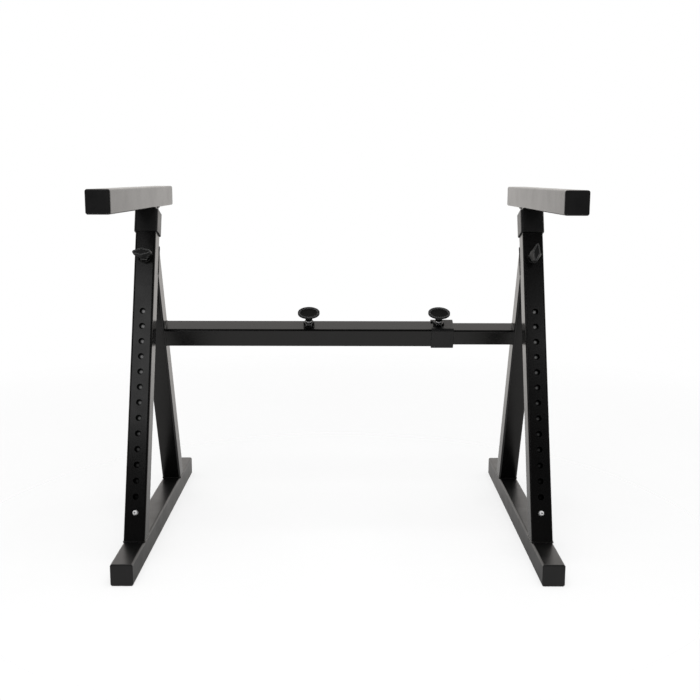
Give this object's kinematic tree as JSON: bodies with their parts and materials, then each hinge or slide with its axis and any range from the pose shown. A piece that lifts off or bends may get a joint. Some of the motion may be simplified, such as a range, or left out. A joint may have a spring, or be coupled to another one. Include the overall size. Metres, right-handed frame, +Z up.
{
  "type": "z-style keyboard stand",
  "caption": "Height- and width-adjustable Z-style keyboard stand: square-tube side frames with telescoping posts and support arms, joined by a telescoping crossbar with clamp knobs.",
  "frame": {"origin": "on the floor, at the middle of the stand's width and depth", "axes": "+Z up, -Y the player's side, +X the player's right, along the crossbar"},
  "size_m": [0.7, 0.649, 0.6],
  "materials": {
    "black_paint": "satin black powder coat on steel tube",
    "black_plastic": "moulded black plastic, fine grain",
    "knob_plastic": "moulded black plastic, matte",
    "wing_plastic": "moulded black plastic, satin",
    "zinc": "bright zinc plate",
    "post_steel": "bare drawn steel tube, dark and lightly oiled",
    "spring_steel": "oiled spring steel",
    "nylon": "natural nylon"
  },
  "bodies": {
    "left_frame": {"left_foot_tube": "black_paint", "left_foot_front_cap": "black_plastic", "left_foot_rear_cap": "black_plastic", "left_upright_tube": "black_paint", "left_rear_strut": "black_paint", "left_post_collar": "black_plastic", "left_clamp_nut": "black_paint", "crossbar_outer_tube": "black_paint", "crossbar_collar": "black_plastic", "crossbar_clamp_nut_a": "black_paint", "crossbar_clamp_nut_b": "black_paint"},
    "right_frame": {"right_foot_tube": "black_paint", "right_foot_front_cap": "black_plastic", "right_foot_rear_cap": "black_plastic", "right_upright_tube": "black_paint", "right_rear_strut": "black_paint", "right_post_collar": "black_plastic", "right_clamp_nut": "black_paint", "crossbar_inner_tube": "black_paint", "crossbar_inner_plug": "black_plastic"},
    "left_arm": {"left_support_arm": "black_paint", "left_arm_front_cap": "black_plastic", "left_arm_rear_cap": "black_plastic", "left_inner_post": "post_steel", "left_post_glide": "black_plastic", "left_snap_spring": "spring_steel"},
    "left_button": {"left_snap_button": "zinc"},
    "left_clamp_tip": {"left_screw_tip": "nylon"},
    "left_clamp_knob": {"left_height_knob": "wing_plastic", "left_height_screw": "zinc"},
    "right_arm": {"right_support_arm": "black_paint", "right_arm_front_cap": "black_plastic", "right_arm_rear_cap": "black_plastic", "right_inner_post": "post_steel", "right_post_glide": "black_plastic", "right_snap_spring": "spring_steel"},
    "right_button": {"right_snap_button": "zinc"},
    "right_clamp_tip": {"right_screw_tip": "nylon"},
    "right_clamp_knob": {"right_height_knob": "wing_plastic", "right_height_screw": "zinc"},
    "width_tip_a": {"crossbar_screw_tip_a": "nylon"},
    "width_knob_a": {"crossbar_knob_a": "knob_plastic", "crossbar_screw_a": "zinc"},
    "width_tip_b": {"crossbar_screw_tip_b": "nylon"},
    "width_knob_b": {"crossbar_knob_b": "knob_plastic", "crossbar_screw_b": "zinc"}
  },
  "joints": [
    {"name": "width_slide", "type": "slide", "parent": "left_frame", "child": "right_frame", "axis": [1, 0, 0], "range_m": [-0.1, 0.19]},
    {"name": "left_height_slide", "type": "slide", "parent": "left_frame", "child": "left_arm", "axis": [0, 0.3371, 0.9415], "range_m": [0, 0.309]},
    {"name": "left_snap_press", "type": "slide", "parent": "left_arm", "child": "left_button", "axis": [0, 0.9415, -0.3371], "range_m": [0, 0.006], "stiffness_N_per_m": 1200, "springref_m": -0.003, "deforming": ["left_snap_spring"]},
    {"name": "left_clamp_feed", "type": "slide", "parent": "left_frame", "child": "left_clamp_tip", "axis": [0, -0.9415, 0.3371], "range_m": [0, 0.0026]},
    {"name": "left_clamp_turn", "type": "hinge", "parent": "left_clamp_tip", "child": "left_clamp_knob", "pos_m": [-0.33, 0.0032, 0.47799], "axis": [0, -0.9415, 0.3371], "range_deg": [0, 630]},
    {"name": "right_height_slide", "type": "slide", "parent": "right_frame", "child": "right_arm", "axis": [0, 0.3371, 0.9415], "range_m": [0, 0.309]},
    {"name": "right_snap_press", "type": "slide", "parent": "right_arm", "child": "right_button", "axis": [0, 0.9415, -0.3371], "range_m": [0, 0.006], "stiffness_N_per_m": 1200, "springref_m": -0.003, "deforming": ["right_snap_spring"]},
    {"name": "right_clamp_feed", "type": "slide", "parent": "right_frame", "child": "right_clamp_tip", "axis": [0, -0.9415, 0.3371], "range_m": [0, 0.0026]},
    {"name": "right_clamp_turn", "type": "hinge", "parent": "right_clamp_tip", "child": "right_clamp_knob", "pos_m": [0.33, 0.0032, 0.47799], "axis": [0, -0.9415, 0.3371], "range_deg": [0, 630]},
    {"name": "width_feed_a", "type": "slide", "parent": "left_frame", "child": "width_tip_a", "axis": [0, -0.373, 0.9278], "range_m": [0, 0.0026]},
    {"name": "width_turn_a", "type": "hinge", "parent": "width_tip_a", "child": "width_knob_a", "pos_m": [-0.055, 0.07458, 0.338], "axis": [0, -0.373, 0.9278], "range_deg": [0, 630]},
    {"name": "width_feed_b", "type": "slide", "parent": "left_frame", "child": "width_tip_b", "axis": [0, -0.373, 0.9278], "range_m": [0, 0.0026]},
    {"name": "width_turn_b", "type": "hinge", "parent": "width_tip_b", "child": "width_knob_b", "pos_m": [0.178, 0.07458, 0.338], "axis": [0, -0.373, 0.9278], "range_deg": [0, 630]}
  ],
  "couplings": [
    {"joint": "left_clamp_turn", "follows": "left_clamp_feed", "rad_per_m": 4188.8},
    {"joint": "right_clamp_turn", "follows": "right_clamp_feed", "rad_per_m": 4188.8},
    {"joint": "width_turn_a", "follows": "width_feed_a", "rad_per_m": 4188.8},
    {"joint": "width_turn_b", "follows": "width_feed_b", "rad_per_m": 4188.8}
  ]
}
